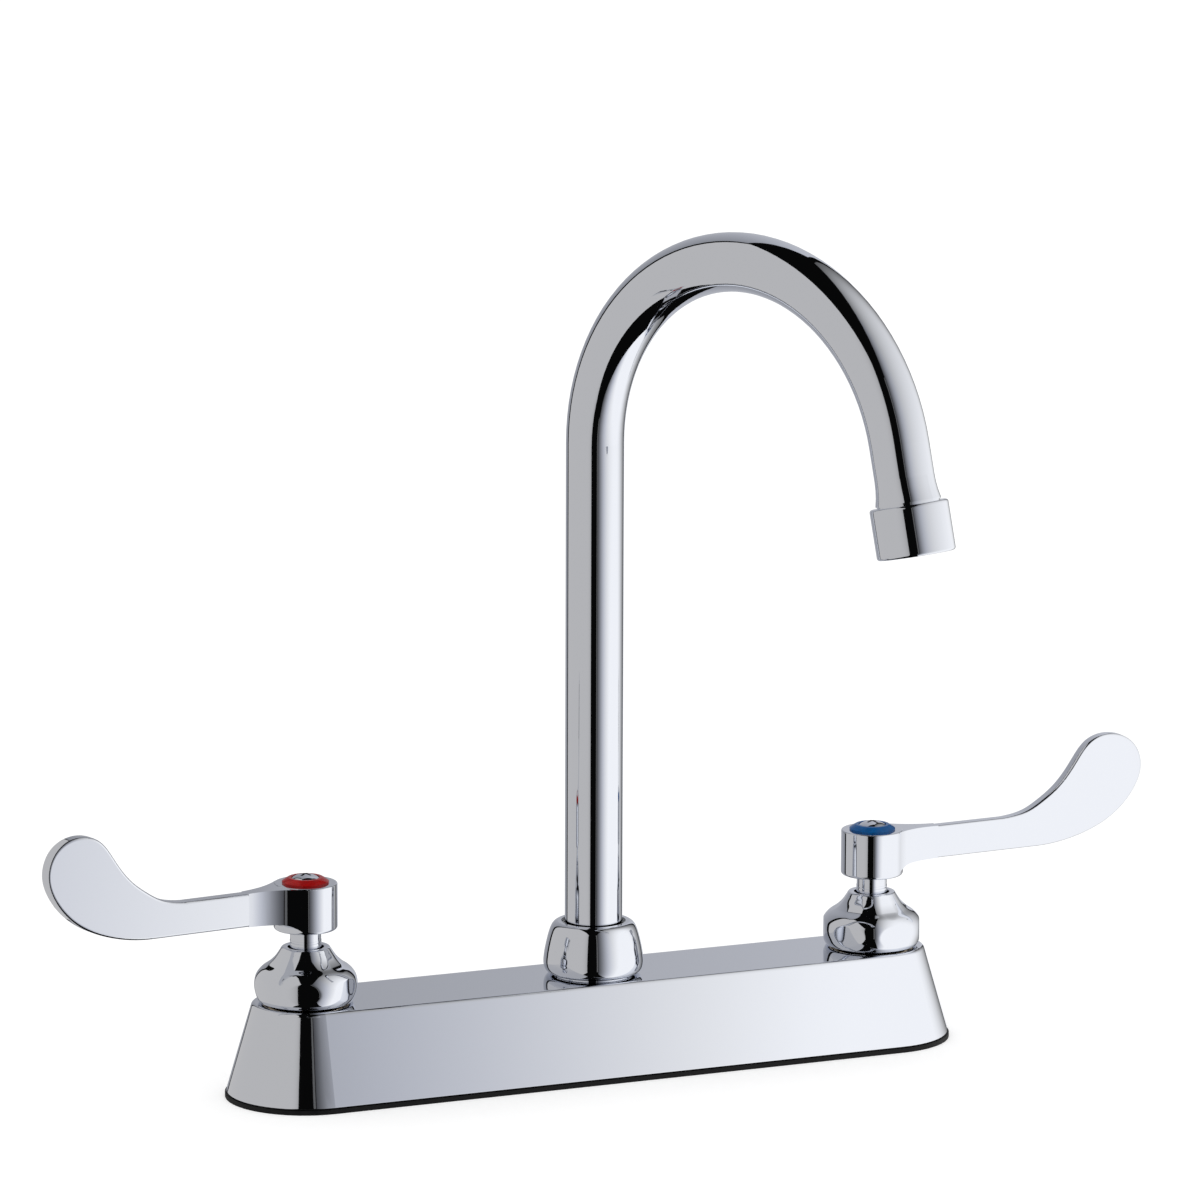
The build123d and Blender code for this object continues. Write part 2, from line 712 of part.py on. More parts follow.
# The two valves are alike but mirror each other in how their levers turn
valves = (
    ("hot", -valve_offset, 180 + hot_lever_turn, 180, 1, front_facet_angle),
    ("cold", valve_offset, -cold_lever_turn, 0, -1, front_facet_angle + 30),
)
for side, x, lever_angle, closed_angle, open_sense, facet_angle in valves:
    inward = 1 if x < 0 else -1
    open_angle = closed_angle + open_sense * lever_travel
    middle_angle = (closed_angle + open_angle) / 2
    lug_sweep = lever_travel + stop_lug_span + stop_spare_angle
    save(make_seat_seal(x), f"{side}_seat_seal")
    save(make_disc(x, fixed_disc_base, open_angle, False), f"{side}_fixed_disc")
    save(make_disc(x, moving_disc_base, lever_angle, True), f"{side}_moving_disc")
    save(
        make_cartridge_body(x, inward, middle_angle + 180, 360 - lug_sweep),
        f"{side}_cartridge_body",
    )
    save(make_stem(x, lever_angle), f"{side}_stem")
    stem_ring_radius = stem_radius - stem_o_ring_section
    ring_place = [(x, 0, valve_o_ring_height)]
    save(make_o_ring(ring_place, stem_ring_radius, stem_o_ring_section), f"{side}_stem_o_ring")
    barrel_ring_radius = barrel_radius - cartridge_o_ring_section
    save(
        make_o_ring(ring_place, barrel_ring_radius, cartridge_o_ring_section),
        f"{side}_cartridge_o_ring",
    )
    washer_profile = [
        (stem_bore_radius, washer_base),
        (barrel_bore_radius - running_gap, washer_base),
        (barrel_bore_radius - running_gap, washer_base + thrust_washer_thickness),
        (stem_bore_radius, washer_base + thrust_washer_thickness),
    ]
    valve_axis = Axis((x, 0, 0), (0, 0, 1))
    save(turned(washer_profile, valve_section(x), valve_axis), f"{side}_thrust_washer")
    save(make_retaining_clip(x, lever_angle), f"{side}_retaining_clip")
    save(make_lock_nut(x), f"{side}_lock_nut")
    save(make_bonnet(x, facet_angle), f"{side}_bonnet")
    save(make_lever(x, lever_angle), f"{side}_lever")
    save(make_index_ring(x), f"{side}_index_ring")
    save(make_lever_screw(x, lever_angle + recess_turn), f"{side}_lever_screw")


# Spout spindle: brass end of the tube that turns in the centre boss on two O-rings
groove_root = spindle_radius - 2 * spout_o_ring_section - running_gap
groove_half = o_ring_groove_width / 2
groove_points = []
spout_o_ring_heights = [spindle_base + rise for rise in spout_o_ring_rises]
for height in spout_o_ring_heights:
    groove_points += [
        (spindle_radius, height - groove_half),
        (groove_root, height - groove_half),
        (groove_root, height + groove_half),
        (spindle_radius, height + groove_half),
    ]
spindle_profile = [
    (spindle_bore_radius, spindle_base),
    (spindle_radius, spindle_base),
    *groove_points,
    (spindle_radius, spindle_top),
    (tube_radius + running_gap, spindle_top),
    (tube_radius + running_gap, tube_seat),
    (spindle_bore_radius, tube_seat),
]
save(turned(spindle_profile, Plane.XZ, Axis.Z), "spout_spindle")
save(
    make_o_ring(
        [(0, 0, height) for height in spout_o_ring_heights],
        spindle_radius - spout_o_ring_section - running_gap / 2,
        spout_o_ring_section,
    ),
    "spout_o_rings",
)

# Slip ring: split collar that rides on the spindle and is held down by the nut
with BuildPart() as spout_slip_ring:
    with BuildSketch(Plane.XY.offset(spindle_top)):
        Circle(slip_ring_radius)
        Circle(tube_radius + running_gap, mode=Mode.SUBTRACT)
        with Locations((-slip_ring_radius, 0)):
            Rectangle(2 * slip_ring_radius - tube_radius, slip_ring_split, mode=Mode.SUBTRACT)
    extrude(amount=slip_ring_height)
save(spout_slip_ring, "spout_slip_ring")

# Spout nut: domed outside, threaded bore below and an open hole round the tube
with BuildPart() as spout_nut:
    with BuildSketch(Plane.XZ):
        with BuildLine():
            base = Line((neck_thread_radius + thread_gap, nut_bottom), (nut_foot_radius, nut_bottom))
            dome = Spline(
                base @ 1,
                *[(radius, nut_bottom + height) for radius, height in nut_dome],
                (nut_hole_radius + nut_top_flat, nut_top),
            )
            Polyline(
                dome @ 1,
                (nut_hole_radius, nut_top),
                (nut_hole_radius, nut_ceiling),
                (neck_thread_radius + thread_gap, nut_ceiling),
                base @ 0,
            )
        make_face()
    revolve(axis=Axis.Z)
save(spout_nut, "spout_nut")

# Spout tube: riser, gooseneck bend, short outlet leg, flared end and aerator nipple
with BuildPart() as spout_tube:
    with BuildLine(spout_plane):
        Line((0, tube_seat), (0, bend_start))
        bend = CenterArc((bend_radius, bend_start), bend_radius, 180, -bend_angle)
        PolarLine(bend @ 1, outlet_straight - outlet_flare_length, 90 - bend_angle)
    with BuildSketch(Plane.XY.offset(tube_seat)):
        Circle(tube_radius)
        Circle(tube_radius - tube_wall, mode=Mode.SUBTRACT)
    sweep()
    with BuildSketch(outlet_section()):
        with BuildLine():
            flare_start = (tube_radius, -outlet_flare_length)
            flare = Spline(
                flare_start, (outlet_flare_radius, -outlet_flare_edge), tangents=((0, 1), (0.25, 1))
            )
            Polyline(
                flare @ 1,
                (outlet_flare_radius, 0),
                (aerator_thread_radius, 0),
                (aerator_thread_radius, joint_line + aerator_thread_length),
                (tube_radius - tube_wall, joint_line + aerator_thread_length),
                (tube_radius - tube_wall, -outlet_flare_length),
                flare_start,
            )
        make_face()
    revolve(axis=outlet_axis)
save(spout_tube, "spout_tube")

# Heights inside the aerator, measured along the outlet axis from the end of the tube
washer_seat = joint_line + aerator_thread_length + running_gap
insert_seat = washer_seat + aerator_washer_thickness
screen_seat = insert_seat + aerator_insert_length
lip_seat = joint_line + aerator_length - aerator_lip_height

# Aerator housing: the round cup that screws onto the end of the spout
with BuildPart() as aerator_housing:
    with BuildSketch(outlet_section()):
        with BuildLine():
            Polyline(
                (aerator_thread_radius + thread_gap, joint_line),
                (aerator_radius, joint_line),
                (aerator_radius, joint_line + aerator_length),
                (aerator_lip_radius, joint_line + aerator_length),
                (aerator_lip_radius, lip_seat),
                (aerator_cavity_radius, lip_seat),
                (aerator_cavity_radius, washer_seat),
                (aerator_thread_radius + thread_gap, washer_seat),
                close=True,
            )
        make_face()
    revolve(axis=outlet_axis)
    rims = aerator_housing.edges().filter_by(GeomType.CIRCLE).group_by(SortBy.RADIUS)[-1]
    fillet(rims, aerator_edge_round)
save(aerator_housing, "aerator_housing")

# Aerator washer: flat rubber seal between the nipple and the insert
with BuildPart() as aerator_washer:
    with BuildSketch(outlet_plane(washer_seat)):
        Circle(aerator_cavity_radius - running_gap)
        Circle(aerator_washer_hole, mode=Mode.SUBTRACT)
    extrude(amount=aerator_washer_thickness)
save(aerator_washer, "aerator_washer")

# Aerator insert: plastic body with a ring of water passages
with BuildPart() as aerator_insert:
    with BuildSketch(outlet_plane(insert_seat)):
        Circle(aerator_cavity_radius - running_gap)
        with PolarLocations(aerator_insert_hole_circle, aerator_insert_holes):
            Circle(aerator_insert_hole_radius, mode=Mode.SUBTRACT)
    extrude(amount=aerator_insert_length)
save(aerator_insert, "aerator_insert")

# Aerator screen: fine perforated disc behind the outlet lip
with BuildPart() as aerator_screen:
    with BuildSketch(outlet_plane(screen_seat)):
        Circle(aerator_cavity_radius - running_gap)
        with HexLocations(screen_hole_pitch / 2, screen_hole_rows, screen_hole_rows):
            Circle(screen_hole_radius, mode=Mode.SUBTRACT)
    extrude(amount=aerator_screen_thickness)
save(aerator_screen, "aerator_screen")
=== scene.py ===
import json
import math
import bpy
import numpy as np
from mathutils import Matrix, Vector

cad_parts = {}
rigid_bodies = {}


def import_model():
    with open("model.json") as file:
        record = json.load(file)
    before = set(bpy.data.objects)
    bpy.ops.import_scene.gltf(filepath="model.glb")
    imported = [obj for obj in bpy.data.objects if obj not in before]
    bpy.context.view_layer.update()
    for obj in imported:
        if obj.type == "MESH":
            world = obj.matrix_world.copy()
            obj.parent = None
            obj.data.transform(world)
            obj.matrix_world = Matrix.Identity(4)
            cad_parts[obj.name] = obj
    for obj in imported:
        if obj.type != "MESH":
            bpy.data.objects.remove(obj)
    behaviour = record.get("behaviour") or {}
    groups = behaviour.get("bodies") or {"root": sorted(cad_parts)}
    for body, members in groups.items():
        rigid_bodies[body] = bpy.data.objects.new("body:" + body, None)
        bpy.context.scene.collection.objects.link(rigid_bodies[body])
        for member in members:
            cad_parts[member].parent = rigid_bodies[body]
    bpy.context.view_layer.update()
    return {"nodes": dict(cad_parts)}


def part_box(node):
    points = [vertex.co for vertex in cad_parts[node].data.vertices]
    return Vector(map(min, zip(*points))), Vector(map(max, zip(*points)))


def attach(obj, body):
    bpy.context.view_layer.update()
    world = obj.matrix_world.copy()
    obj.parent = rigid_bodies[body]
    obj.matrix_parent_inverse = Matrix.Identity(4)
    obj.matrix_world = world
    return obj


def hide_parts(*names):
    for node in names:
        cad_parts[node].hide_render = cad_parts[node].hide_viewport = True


# Deck-mount gooseneck faucet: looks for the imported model. Metres, in the frame's own axes.
# The origin is the centre of the gasket underside, +X runs from the hot valve to the cold
# valve and -Y is the user's side.

for item in list(bpy.data.objects):
    bpy.data.objects.remove(item)

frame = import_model()
nodes = frame["nodes"]

MM = 0.001
white = (1, 1, 1, 1)
valve_spacing = 0.2032


# ---------------------------------------------------------------- camera
# Where it stands: degrees to the side of the front and up, and metres from its aim. The aim is
# metres to the camera's right of the origin and up. The lens and sensor are in millimetres.
camera_azimuth = -23.465
camera_elevation = 10.893
camera_distance = 2.3
camera_aim_side = 0.001787
camera_aim_height = 0.15643
camera_roll = 0.195
camera_lens = 211.1
camera_sensor = 36.0
camera_sight = 50.0


def place_camera():
    """Camera on a sphere round its aim, looking at it, rolled about its own axis."""
    turn, tilt = math.radians(camera_azimuth), math.radians(camera_elevation)
    right = Vector((math.cos(turn), math.sin(turn), 0))
    level = Vector((math.sin(turn), -math.cos(turn), 0))
    toward = level * math.cos(tilt) + Vector((0, 0, math.sin(tilt)))
    up = toward.cross(right)
    lean = math.radians(camera_roll)
    rolled_right = right * math.cos(lean) + up * math.sin(lean)
    rolled_up = up * math.cos(lean) - right * math.sin(lean)
    data = bpy.data.cameras.new("camera")
    data.lens = camera_lens
    data.sensor_width = camera_sensor
    data.clip_end = camera_sight
    camera = bpy.data.objects.new("camera", data)
    aim = right * camera_aim_side + Vector((0, 0, camera_aim_height))
    axes = Matrix((rolled_right, rolled_up, toward)).transposed().to_4x4()
    camera.matrix_world = Matrix.Translation(aim + toward * camera_distance) @ axes
    bpy.context.scene.collection.objects.link(camera)
    bpy.context.scene.camera = camera


place_camera()


# ---------------------------------------------------------------- node helpers
def new_node(tree, kind, settings=None, values=None):
    """Node of one kind, with its settings by name and its unlinked inputs by name or number."""
    node = tree.nodes.new(kind)
    for key, setting in (settings or {}).items():
        setattr(node, key, setting)
    for key, value in (values or {}).items():
        node.inputs[key].default_value = value
    return node


def math_node(tree, operation, first, second):
    """Math node whose two inputs are sockets or numbers."""
    node = new_node(tree, "ShaderNodeMath", {"operation": operation})
    for slot, value in enumerate((first, second)):
        if isinstance(value, (int, float)):
            node.inputs[slot].default_value = value
        else:
            tree.links.new(value, node.inputs[slot])
    return node.outputs[0]


def map_range(tree, value, low, high, to_low=0.0, to_high=1.0):
    """Value mapped from one range to another and held inside it."""
    node = new_node(tree, "ShaderNodeMapRange", values={1: low, 2: high, 3: to_low, 4: to_high})
    tree.links.new(value, node.inputs[0])
    return node.outputs[0]


def noise(tree, vector, scale, detail, roughness=0.5):
    """Noise value on the given coordinates."""
    values = {"Scale": scale, "Detail": detail, "Roughness": roughness}
    node = new_node(tree, "ShaderNodeTexNoise", values=values)
    tree.links.new(vector, node.inputs["Vector"])
    return node.outputs[0]


def stretched(tree, vector, scale, turn=(0.0, 0.0, 0.0)):
    """Coordinates turned and scaled along each axis, which draws a pattern on them out."""
    node = new_node(tree, "ShaderNodeMapping", values={"Rotation": turn, "Scale": scale})
    tree.links.new(vector, node.inputs["Vector"])
    return node.outputs[0]


def new_group(name, inputs, outputs):
    """Node group with number inputs, given by name with their usual values, and named number
    outputs. Gives its tree and its two end nodes."""
    tree = bpy.data.node_groups.new(name, "ShaderNodeTree")
    number = "NodeSocketFloat"
    for label, value in inputs.items():
        socket = tree.interface.new_socket(label, in_out="INPUT", socket_type=number)
        socket.default_value = value
    for label in outputs:
        tree.interface.new_socket(label, in_out="OUTPUT", socket_type=number)
    return tree, tree.nodes.new("NodeGroupInput"), tree.nodes.new("NodeGroupOutput")


# ---------------------------------------------------------------- shared effects
# Pattern scales are in repeats a metre and turns in radians. A range holds the two noise values
# between which a mask fades in.
smear_stretch = (60.0, 60.0, 22.0)
smear_detail = 4.0
smear_roughness = 0.6
smear_range = (0.45, 0.75)
hair_turn = (0.3, 0.2, 0.5)
hair_stretch = (300.0, 4000.0, 900.0)
hair_range = (0.62, 0.72)
wave_scale = 90.0
cloud_range = (0.35, 0.65)
machined_cloud_scale = 350.0


def make_plating_group():
    """Plated metal: roughness that varies with wiping smears and faint hairlines, and a bump
    of very shallow waves left by buffing."""
    tree, given, result = new_group(
        "plating_polish",
        {"Roughness": 0.04, "Smear": 0.03, "Hairline": 0.02, "Wave": 1.0},
        ("Roughness", "Height"),
    )
    place = new_node(tree, "ShaderNodeTexCoord").outputs["Object"]
    smear_place = stretched(tree, place, smear_stretch)
    smear = noise(tree, smear_place, 1.0, smear_detail, smear_roughness)
    hair = noise(tree, stretched(tree, place, hair_stretch, hair_turn), 1.0, 1.0)
    rough = given.outputs["Roughness"]
    for pattern, limits, label in ((smear, smear_range, "Smear"), (hair, hair_range, "Hairline")):
        share = map_range(tree, pattern, *limits)
        more = math_node(tree, "MULTIPLY", share, given.outputs[label])
        rough = math_node(tree, "ADD", rough, more)
    tree.links.new(rough, result.inputs["Roughness"])
    wave = noise(tree, place, wave_scale, 1.0)
    height = math_node(tree, "MULTIPLY", wave, given.outputs["Wave"])
    tree.links.new(height, result.inputs["Height"])
    return tree


def put_out(tree, given, result, mask, height):
    """Outputs of a two-tone group: its mask, a roughness that rises with the mask, and a
    height for the bump."""
    spread = math_node(tree, "MULTIPLY", mask, given.outputs["Roughness Spread"])
    rough = math_node(tree, "ADD", spread, given.outputs["Roughness"])
    for label, value in (("Mask", mask), ("Roughness", rough), ("Height", height)):
        tree.links.new(value, result.inputs[label])


def make_moulding_group():
    """Moulded or sintered surface: a mask of cloudy mottling, roughness that follows it, and a
    fine grain for the bump."""
    tree, given, result = new_group(
        "moulded_skin",
        {"Roughness": 0.4, "Roughness Spread": 0.1, "Mottle Size": 400.0, "Grain Size": 6000.0},
        ("Mask", "Roughness", "Height"),
    )
    place = new_node(tree, "ShaderNodeTexCoord").outputs["Object"]
    cloud = new_node(tree, "ShaderNodeTexNoise", values={"Detail": 3.0, "Roughness": 0.55})
    grain = new_node(tree, "ShaderNodeTexNoise", values={"Detail": 1.0, "Roughness": 0.5})
    for texture, size in ((cloud, "Mottle Size"), (grain, "Grain Size")):
        tree.links.new(place, texture.inputs["Vector"])
        tree.links.new(given.outputs[size], texture.inputs["Scale"])
    mask = map_range(tree, cloud.outputs[0], *cloud_range)
    put_out(tree, given, result, mask, grain.outputs[0])
    return tree


def make_machining_group():
    """Turned or rolled metal: fine lines along the height, unevenly spaced, that darken a mask,
    roughen the surface and cut shallow grooves."""
    tree, given, result = new_group(
        "machining_marks",
        {"Roughness": 0.2, "Roughness Spread": 0.15, "Line Size": 2600.0, "Unevenness": 2.0},
        ("Mask", "Roughness", "Height"),
    )
    place = new_node(tree, "ShaderNodeTexCoord").outputs["Object"]
    lines = new_node(
        tree,
        "ShaderNodeTexWave",
        {"wave_type": "BANDS", "bands_direction": "Z", "wave_profile": "SIN"},
        {"Detail": 2.0, "Detail Scale": 1.5},
    )
    tree.links.new(place, lines.inputs["Vector"])
    tree.links.new(given.outputs["Line Size"], lines.inputs["Scale"])
    tree.links.new(given.outputs["Unevenness"], lines.inputs["Distortion"])
    cloud = map_range(tree, noise(tree, place, machined_cloud_scale, 3.0), *cloud_range)
    mask = math_node(tree, "MULTIPLY", cloud, lines.outputs["Fac"])
    put_out(tree, given, result, mask, lines.outputs["Fac"])
    return tree


plating_polish = make_plating_group()
moulded_skin = make_moulding_group()
machining_marks = make_machining_group()


# ---------------------------------------------------------------- finishes
chrome_colour = (0.74, 0.76, 0.81)
chrome_polish = {"Roughness": 0.03, "Smear": 0.02, "Hairline": 0.015, "Wave": 1.0}
chrome_wave_strength = 0.3
chrome_wave_depth = 0.000004
grain_strength = 0.5
usual_gloss = 0.5
metal, not_metal = 1.0, 0.0


def finish_material(name, colour, metallic):
    """New material with a plain Principled shader."""
    material = bpy.data.materials.new(name)
    material.use_nodes = True
    tree = material.node_tree
    surface = tree.nodes["Principled BSDF"]
    surface.inputs["Base Color"].default_value = (*colour, 1)
    surface.inputs["Metallic"].default_value = metallic
    return material, tree, surface


def add_bump(tree, surface, height, strength, distance):
    """Bump node from a height to the shader's normal."""
    bump = new_node(tree, "ShaderNodeBump", values={"Strength": strength, "Distance": distance})
    tree.links.new(height, bump.inputs["Height"])
    tree.links.new(bump.outputs["Normal"], surface.inputs["Normal"])


def make_chrome():
    """Bright chrome plate over polished brass."""
    material, tree, surface = finish_material("chrome_plate", chrome_colour, metal)
    polish = new_node(tree, "ShaderNodeGroup", {"node_tree": plating_polish}, chrome_polish)
    tree.links.new(polish.outputs["Roughness"], surface.inputs["Roughness"])
    height = polish.outputs["Height"]
    add_bump(tree, surface, height, chrome_wave_strength, chrome_wave_depth)
    return material


def two_tone(name, tones, metallic, group, values, grain_depth, gloss=usual_gloss):
    """Material whose colour goes between two tones by the group's mask, with the group's
    roughness and a bump of its height."""
    material, tree, surface = finish_material(name, tones[0], metallic)
    texture = new_node(tree, "ShaderNodeGroup", {"node_tree": group}, values)
    blend = new_node(tree, "ShaderNodeMix", {"data_type": "RGBA"})
    for socket, tone in zip(("A_Color", "B_Color"), tones):
        next(i for i in blend.inputs if i.identifier == socket).default_value = (*tone, 1)
    tree.links.new(texture.outputs["Mask"], blend.inputs[0])
    colour = next(o for o in blend.outputs if o.identifier == "Result_Color")
    tree.links.new(colour, surface.inputs["Base Color"])
    tree.links.new(texture.outputs["Roughness"], surface.inputs["Roughness"])
    surface.inputs["Specular IOR Level"].default_value = gloss
    add_bump(tree, surface, texture.outputs["Height"], grain_strength, grain_depth)
    return material


finishes = {
    "chrome": make_chrome(),
    "brass": two_tone(
        "machined_brass", ((0.78, 0.56, 0.25), (0.62, 0.42, 0.17)), metal, machining_marks,
        {"Roughness": 0.2, "Roughness Spread": 0.15, "Line Size": 2600.0},
        grain_depth=0.000006,
    ),
    "black_rubber": two_tone(
        "black_rubber", ((0.004, 0.004, 0.005), (0.010, 0.010, 0.010)), not_metal, moulded_skin,
        {"Roughness": 0.5, "Roughness Spread": 0.2, "Mottle Size": 300.0},
        grain_depth=0.00001, gloss=0.2,
    ),
    "white_ceramic": two_tone(
        "sintered_ceramic", ((0.82, 0.81, 0.78), (0.76, 0.76, 0.74)), not_metal, moulded_skin,
        {"Roughness": 0.12, "Roughness Spread": 0.08, "Mottle Size": 900.0},
        grain_depth=0.000002,
    ),
    "white_nylon": two_tone(
        "moulded_nylon", ((0.77, 0.76, 0.70), (0.70, 0.69, 0.63)), not_metal, moulded_skin,
        {"Roughness": 0.38, "Roughness Spread": 0.12, "Mottle Size": 500.0},
        grain_depth=0.000006,
    ),
    "spring_steel": two_tone(
        "rolled_steel", ((0.50, 0.51, 0.53), (0.38, 0.39, 0.41)), metal, machining_marks,
        {"Roughness": 0.22, "Roughness Spread": 0.15, "Line Size": 4200.0},
        grain_depth=0.000003,
    ),
    "red_plastic": two_tone(
        "hot_mark_plastic", ((0.34, 0.004, 0.004), (0.27, 0.003, 0.003)), not_metal, moulded_skin,
        {"Roughness": 0.14, "Roughness Spread": 0.08, "Mottle Size": 700.0},
        grain_depth=0.000003, gloss=0.18,
    ),
    "blue_plastic": two_tone(
        "cold_mark_plastic", ((0.004, 0.085, 0.27), (0.003, 0.068, 0.22)), not_metal, moulded_skin,
        {"Roughness": 0.14, "Roughness Spread": 0.08, "Mottle Size": 700.0},
        grain_depth=0.000003, gloss=0.18,
    ),
}
for node in nodes.values():
    for slot in node.material_slots:
        slot.material = finishes[slot.material.name.split(".")[0]]


# ---------------------------------------------------------------- mesh helpers
smooth_limit = 40.0


def mesh_object(name, points, faces):
    """Mesh object at the origin from points and faces."""
    data = bpy.data.meshes.new(name)
    data.from_pydata(points, [], faces)
    thing = bpy.data.objects.new(name, data)
    bpy.context.scene.collection.objects.link(thing)
    return thing


def through_points(knots, steps):
    """Smooth curve through the knots: on each span a cubic whose end slopes are half the chord
    of the neighbouring knots, with the end chords used at the two ends."""
    knots = np.asarray(knots, float)
    before = np.vstack((2 * knots[0] - knots[1], knots[:-1]))[:-1]
    after = np.vstack((knots[1:], 2 * knots[-1] - knots[-2]))[1:]
    share = np.linspace(0, 1, steps, endpoint=False)[None, :, None]
    start, end = knots[:-1, None], knots[1:, None]
    start_slope = (knots[1:, None] - before[:, None]) / 2
    end_slope = (after[:, None] - knots[:-1, None]) / 2
    curve = (
        (2 * share**3 - 3 * share**2 + 1) * start
        + (share**3 - 2 * share**2 + share) * start_slope
        + (3 * share**2 - 2 * share**3) * end
        + (share**3 - share**2) * end_slope
    )
    return np.vstack((curve.reshape(-1, knots.shape[1]), knots[-1]))


def soft_least(softness, *values):
    """Smallest of several arrays, blended over the softness where two of them cross."""
    stack = np.stack(np.broadcast_arrays(*values))
    least = stack.min(0)
    return least - softness * np.log(np.exp((least - stack) / softness).sum(0))


def ring_object(name, points):
    """Mesh of a grid of points, shaped (rows, columns, 3) and closed round both ways, with
    smooth faces and sharp edges where they meet at more than the smooth limit in degrees."""
    rows, columns = points.shape[:2]
    index = np.arange(rows * columns).reshape(rows, columns)
    index = np.vstack((index, index[:1]))
    index = np.hstack((index, index[:, :1]))
    faces = np.stack((index[:-1, :-1], index[:-1, 1:], index[1:, 1:], index[1:, :-1]), -1)
    thing = mesh_object(name, points.reshape(-1, 3).tolist(), faces.reshape(-1, 4).tolist())
    thing.data.polygons.foreach_set("use_smooth", np.ones(len(thing.data.polygons), bool))
    thing.data.set_sharp_from_angle(angle=math.radians(smooth_limit))
    return thing


def finish_piece(thing, body, slot, replaced):
    """Ride on a body, take the slot's finish and stand for the CAD node."""
    thing.data.materials.append(finishes[slot])
    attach(thing, body)
    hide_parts(replaced)


# ---------------------------------------------------------------- bonnets
# Millimetres and degrees. The skin and the lining are (radius, height) from the bonnet's foot,
# up the outside, over the rim and down the inside.
bonnet_skin = (
    (14.9, 0.0), (15.5, 0.35), (16.2, 1.9), (16.75, 4.4), (16.7, 6.7), (16.1, 8.8), (14.5, 10.8),
    (12.0, 12.6), (10.1, 14.4), (8.75, 16.3), (7.95, 17.6),
)
bonnet_lining = (
    (7.7, 17.85), (7.45, 17.9), (6.2, 17.9), (5.95, 17.8), (5.9, 17.6), (5.9, 16.2),
    (7.9, 14.6), (7.9, 7.5), (11.0, 5.9), (14.2, 5.9), (14.2, 0.05), (14.3, 0.0),
)
bonnet_rim = bonnet_skin[-1][1]
skin_steps = 14
bonnet_columns = 480
facet_pitch = 60.0
facet_headings = {"hot": -114.5, "cold": -84.5}
belly_facet_reach = 16.15
belly_facet_curve = 42.0
belly_facet_middle = 4.6
belly_facet_barrel = 110.0
cone_facet_share = 0.972
cone_facet_start = 10.9
cone_facet_full = 12.6
cone_facet_fade = 0.55
facet_clearance = 1.0
bonnet_crease = 0.05


def bonnet_mesh(name, x, base, first_facet):
    """Bell turned round the valve axis. Its radius at each height is the softened least of three:
    the turned profile, a bulged upright facet (a circle of the facet curve, pushed back from the
    facet reach) and, on the cone, a flat facet whose distance is a fixed share of the profile."""
    outer = through_points(bonnet_skin, skin_steps)
    loop = np.vstack((outer, bonnet_lining))
    radius, height = loop[:, :1], loop[:, 1:]
    angle = np.linspace(0, 2 * np.pi, bonnet_columns, endpoint=False)[None]
    pitch = math.radians(facet_pitch)
    swing = (angle - math.radians(first_facet) + pitch / 2) % pitch - pitch / 2
    reach = belly_facet_reach - (height - belly_facet_middle) ** 2 / (2 * belly_facet_barrel)
    back = belly_facet_curve - reach
    belly = np.sqrt(belly_facet_curve**2 - (back * np.sin(swing)) ** 2) - back * np.cos(swing)
    rise = np.clip((height - cone_facet_start) / (cone_facet_full - cone_facet_start), 0, 1)
    past_full = np.clip((height - cone_facet_full) / (bonnet_rim - cone_facet_full), 0, 1)
    depth = (1 - cone_facet_share) * rise * (1 - cone_facet_fade * past_full)
    cone = np.where(rise > 0, radius * (1 - depth) / np.cos(swing), radius + facet_clearance)
    faceted = soft_least(bonnet_crease, radius, belly, cone)
    inner = np.arange(len(loop)) >= len(outer)
    radius = np.where(inner[:, None], radius, faceted)
    across, deep = radius * np.cos(angle) * MM, radius * np.sin(angle) * MM
    points = np.stack(np.broadcast_arrays(x + across, deep, base + height * MM), -1)
    return ring_object(name, points)


for side, x in (("hot", -valve_spacing / 2), ("cold", valve_spacing / 2)):
    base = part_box(f"{side}_bonnet")[0][2]
    piece = bonnet_mesh(f"{side}_bonnet_shell", x, base, facet_headings[side])
    finish_piece(piece, "deck", "chrome", f"{side}_bonnet")


# ---------------------------------------------------------------- studio
# Floor places are (metres to the camera's right, metres toward the camera) from the origin. A
# panel stands between two of them, from its low to its high edge.
left_panel_ends = ((-0.25, 1.02), (-0.25, -0.195))
left_panel_edges = (-0.3, 0.85)
right_panel_ends = ((0.235, 1.12), (0.235, -0.407))
right_panel_edges = (-0.5, 1.0)
strip_ends = ((0.175, 1.24), (0.225, 1.17))
strip_edges = (-0.3, 1.0)
back_panel_ends = ((-0.26, -0.27), (0.235, -0.55))
back_panel_edges = (-0.3, 0.9)
panel_columns = 65
panel_rows = 33

lamp_level = 1.4
lamp_ceiling = 1.16
lamp_height = -0.1
lamp_spread_near = 0.325
lamp_spread_far = 0.175
lamp_spread_up = 0.55
lamp_falloff = 2.24
wall_level = 0.6
wall_fade_start = 0.4
wall_fade_length = 0.62
wall_fade_drop = 0.19
strip_level = 0.13
back_level = 0.32
back_rise = 0.3
cool_start = 0.2
cool_length = 0.15
cool_tint = np.array((0.0, 0.02, 0.096))
warm_tint = np.array((1.0, 0.985, 0.97))

room_reach = 6.0
room_level = 0.003
floor_reach = 8.0
floor_tone = 0.8
floor_lift = 0.38
world_light = 0.9
world_seen = 1.0


def glow_material():
    """Emission whose colour, brightness included, is the mesh's own glow attribute."""
    material = bpy.data.materials.new("studio_panel")
    material.use_nodes = True
    tree = material.node_tree
    tree.nodes.clear()
    output = new_node(tree, "ShaderNodeOutputMaterial")
    emission = new_node(tree, "ShaderNodeEmission")
    glow = new_node(tree, "ShaderNodeAttribute", {"attribute_name": "glow"})
    tree.links.new(glow.outputs["Color"], emission.inputs["Color"])
    tree.links.new(emission.outputs[0], output.inputs["Surface"])
    return material


panel_glow = glow_material()


